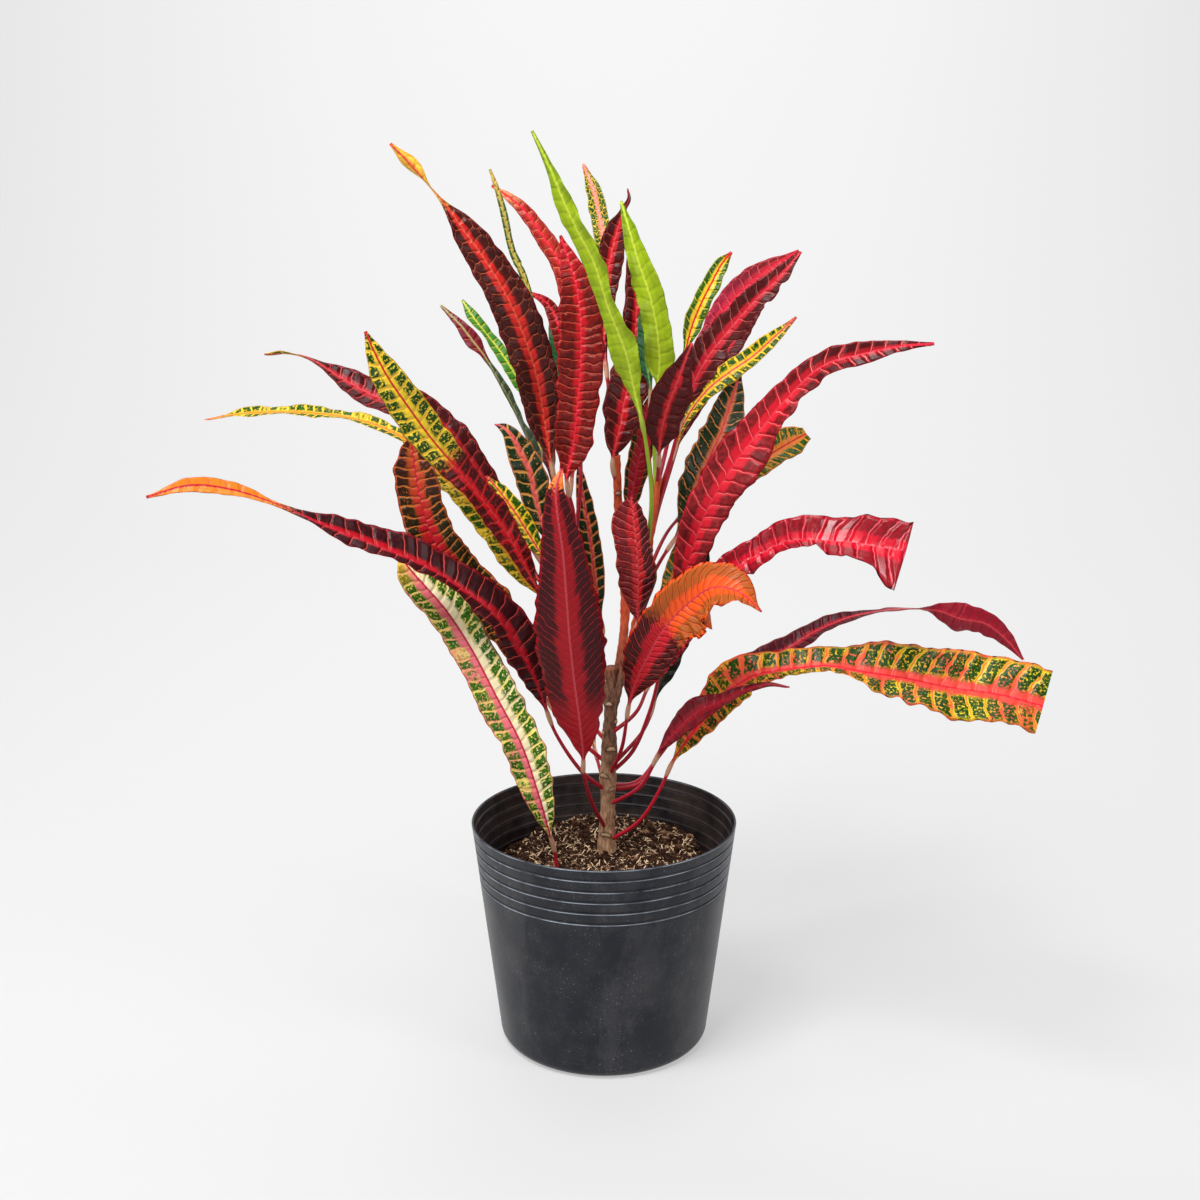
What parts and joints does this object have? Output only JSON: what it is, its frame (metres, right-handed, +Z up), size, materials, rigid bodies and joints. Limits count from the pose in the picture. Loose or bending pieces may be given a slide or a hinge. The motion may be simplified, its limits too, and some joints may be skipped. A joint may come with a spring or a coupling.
{
  "type": "potted croton",
  "caption": "Young croton with long twisted, waved leaves in maroon, red, yellow and green, rooted in soil in a thin black ribbed nursery pot.",
  "frame": {"origin": "centre of the pot's flat base", "axes": "+Z up the plant, -Y towards the front, +X to the right seen from the front"},
  "size_m": [0.6411, 0.3511, 0.6695],
  "materials": {
    "pot": "satin",
    "soil": "matte",
    "bark": "matte",
    "leaf_maroon": "satin",
    "leaf_red": "satin",
    "leaf_variegated": "satin",
    "leaf_lime": "satin",
    "leaf_dark_green": "satin"
  },
  "bodies": {
    "root": {"pot": "pot", "soil": "soil", "trunk": "bark", "leaf_tall_maroon_left": "leaf_maroon", "leaf_centre_red": "leaf_red", "leaf_narrow_red_behind": "leaf_red", "leaf_thin_yellow_left": "leaf_variegated", "leaf_lime_left": "leaf_lime", "leaf_top_variegated": "leaf_variegated", "leaf_top_maroon_curled": "leaf_maroon", "leaf_lime_right": "leaf_lime", "leaf_centre_maroon_right": "leaf_maroon", "leaf_dull_green_strip": "leaf_dark_green", "leaf_short_maroon_front": "leaf_maroon", "leaf_thin_variegated_right": "leaf_variegated", "leaf_big_maroon_right": "leaf_maroon", "leaf_pink_red_right": "leaf_red", "leaf_yellow_right": "leaf_variegated", "leaf_dark_green_right": "leaf_dark_green", "leaf_orange_right_behind": "leaf_variegated", "leaf_big_red_right": "leaf_red", "leaf_right_arching_red": "leaf_red", "leaf_front_right_orange": "leaf_maroon", "leaf_dark_behind_right": "leaf_dark_green", "leaf_low_right_underside": "leaf_red", "leaf_low_right_yellow": "leaf_variegated", "leaf_low_right_maroon": "leaf_maroon", "leaf_long_left": "leaf_maroon", "leaf_front_centre": "leaf_maroon", "leaf_low_left_variegated": "leaf_variegated", "leaf_left_brown_variegated": "leaf_variegated", "leaf_left_yellow_crimson": "leaf_red", "leaf_left_upper_maroon": "leaf_maroon", "leaf_left_green_strip": "leaf_variegated", "leaf_long_yellow_left": "leaf_variegated", "leaf_edge_on_left": "leaf_dark_green", "leaf_small_green_left": "leaf_variegated", "leaf_red_arc_behind": "leaf_red", "leaf_green_sliver_behind": "leaf_dark_green", "leaf_left_dark_variegated": "leaf_dark_green", "leaf_centre_dark_green": "leaf_dark_green", "leaf_glossy_maroon_centre": "leaf_maroon", "leaf_centre_red_rib": "leaf_dark_green", "leaf_back_behind_tall": "leaf_maroon", "leaf_back_behind_centre": "leaf_dark_green", "leaf_back_behind_right": "leaf_maroon", "leaf_back_behind_big_red": "leaf_red", "leaf_back_low_right": "leaf_variegated", "leaf_back_low_left": "leaf_maroon", "leaf_back_left": "leaf_red", "leaf_back_low_centre": "leaf_variegated"}
  },
  "joints": []
}
